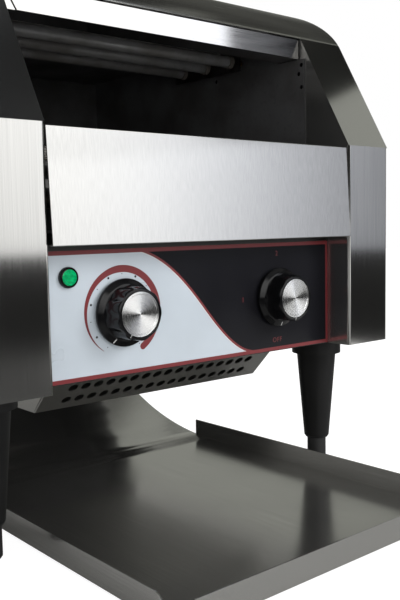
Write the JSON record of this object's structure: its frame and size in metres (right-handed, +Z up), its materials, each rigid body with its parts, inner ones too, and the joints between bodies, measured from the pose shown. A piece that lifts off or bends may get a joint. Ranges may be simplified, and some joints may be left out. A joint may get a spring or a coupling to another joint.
{
  "type": "conveyor toaster",
  "caption": "Stainless conveyor toaster with a wire belt between upper and lower heaters, a rear drop, a curved slide and a toast tray on the table in front, knobs, lamp and adjustable feet",
  "frame": {"origin": "On the table, at the middle of the whole outline, tray included; z = 0 is the underside of the feet and of the tray pads", "axes": "+X to the right seen from the front, +Y to the rear along the belt, +Z up. The feed opening, the knobs and the tray face -Y"},
  "size_m": [0.368, 0.526, 0.387],
  "materials": {
    "stainless_casing": "stainless sheet with a fine vertical brushed grain",
    "stainless_cover": "stainless sheet, brushed, darker in its reflections",
    "polished_trim": "bright rolled stainless strip",
    "tray_stainless": "bright annealed stainless sheet, near mirror",
    "galvanised_steel": "galvanised sheet",
    "chamber_steel": "heat-darkened stainless sheet",
    "reflector_aluminium": "bright folded sheet",
    "printed_film": "printed panel film: pale field, dark field, dark red border and dial arc",
    "black_plastic": "moulded black plastic",
    "knob_plastic": "glossy moulded black plastic",
    "green_lens": "ribbed translucent green lens",
    "spun_aluminium": "face-turned with fine rings",
    "turned_steel": "turned bright steel",
    "sprocket_steel": "plain steel",
    "belt_wire": "bright stainless wire, slightly heat-tinted",
    "heater_sheath": "oxidised metal heater sheath",
    "ceramic": "white ceramic",
    "brass": "plain brass",
    "motor_paint": "grey paint",
    "circuit_board": "green circuit board with dark components",
    "terminal_plastic": "ivory moulded plastic",
    "leg_plastic": "matt black moulded leg",
    "foot_rubber": "black rubber"
  },
  "bodies": {
    "casing": {"left_side_shell": "stainless_casing", "right_side_shell": "stainless_casing", "top_cover": "stainless_cover", "hood_lip": "polished_trim", "front_guard": "stainless_casing", "rear_panel": "stainless_casing", "base_plate": "galvanised_steel", "control_panel": "stainless_casing", "panel_overlay": "printed_film", "lamp_bezel": "black_plastic", "lamp_lens": "green_lens", "speed_control": "black_plastic", "mode_switch": "black_plastic", "left_chamber_plate": "chamber_steel", "right_chamber_plate": "chamber_steel", "ceiling_plate": "chamber_steel", "chamber_floor": "galvanised_steel", "rear_baffle": "chamber_steel", "upper_reflector": "reflector_aluminium", "upper_heaters": "heater_sheath", "lower_reflector": "reflector_aluminium", "lower_heaters": "heater_sheath", "heater_brackets": "galvanised_steel", "heater_insulators": "ceramic", "heater_nuts": "brass", "conveyor_belt": "belt_wire", "shaft_bushes": "brass", "drive_chain": "belt_wire", "gear_motor": "motor_paint", "motor_bracket": "galvanised_steel", "fan_frame": "black_plastic", "control_board": "circuit_board", "terminal_block": "terminal_plastic", "cord_gland": "black_plastic", "vent_skirt": "stainless_casing", "leg_front_left": "leg_plastic", "leg_front_right": "leg_plastic", "leg_rear_left": "leg_plastic", "leg_rear_right": "leg_plastic", "fasteners": "turned_steel"},
    "drive_shaft": {"rear_shaft": "turned_steel", "rear_sprockets": "sprocket_steel", "driven_sprocket": "sprocket_steel"},
    "return_shaft": {"front_shaft": "turned_steel", "front_sprockets": "sprocket_steel"},
    "motor_output": {"motor_shaft": "turned_steel", "motor_sprocket": "sprocket_steel"},
    "fan": {"fan_rotor": "black_plastic"},
    "speed_dial": {"speed_knob": "knob_plastic", "speed_knob_cap": "spun_aluminium", "speed_shaft": "turned_steel"},
    "mode_dial": {"mode_knob": "knob_plastic", "mode_knob_cap": "spun_aluminium", "mode_shaft": "turned_steel"},
    "front_left_foot": {"foot_front_left": "foot_rubber"},
    "front_right_foot": {"foot_front_right": "foot_rubber"},
    "rear_left_foot": {"foot_rear_left": "foot_rubber"},
    "rear_right_foot": {"foot_rear_right": "foot_rubber"},
    "tray": {"toast_tray": "tray_stainless", "tray_bumpers": "foot_rubber"}
  },
  "joints": [
    {"name": "conveyor_drive", "type": "hinge", "parent": "casing", "child": "drive_shaft", "pos_m": [0, 0.1203, 0.24441], "axis": [1, 0, 0], "continuous": true},
    {"name": "front_shaft_turn", "type": "hinge", "parent": "casing", "child": "return_shaft", "pos_m": [0, -0.121, 0.24441], "axis": [1, 0, 0], "continuous": true},
    {"name": "motor_turn", "type": "hinge", "parent": "casing", "child": "motor_output", "pos_m": [0, 0.06, 0.15], "axis": [1, 0, 0], "continuous": true},
    {"name": "fan_spin", "type": "hinge", "parent": "casing", "child": "fan", "pos_m": [0, -0.005, 0.1122], "axis": [0, 0, 1], "continuous": true},
    {"name": "speed_knob_turn", "type": "hinge", "parent": "casing", "child": "speed_dial", "pos_m": [-0.069, -0.135, 0.1522], "axis": [0, 1, 0], "range_deg": [0, 300]},
    {"name": "mode_knob_turn", "type": "hinge", "parent": "casing", "child": "mode_dial", "pos_m": [0.0755, -0.135, 0.1522], "axis": [0, 1, 0], "range_deg": [0, 270]},
    {"name": "front_left_foot_adjust", "type": "slide", "parent": "casing", "child": "front_left_foot", "axis": [0, 0, -1], "range_m": [0, 0.012]},
    {"name": "front_right_foot_adjust", "type": "slide", "parent": "casing", "child": "front_right_foot", "axis": [0, 0, -1], "range_m": [0, 0.012]},
    {"name": "rear_left_foot_adjust", "type": "slide", "parent": "casing", "child": "rear_left_foot", "axis": [0, 0, -1], "range_m": [0, 0.012]},
    {"name": "rear_right_foot_adjust", "type": "slide", "parent": "casing", "child": "rear_right_foot", "axis": [0, 0, -1], "range_m": [0, 0.012]},
    {"name": "tray_slide", "type": "slide", "parent": "casing", "child": "tray", "axis": [0, -1, 0], "range_m": [0, 0.3]}
  ],
  "couplings": [
    {"joint": "front_shaft_turn", "follows": "conveyor_drive", "ratio": 1},
    {"joint": "motor_turn", "follows": "conveyor_drive", "ratio": 2}
  ]
}
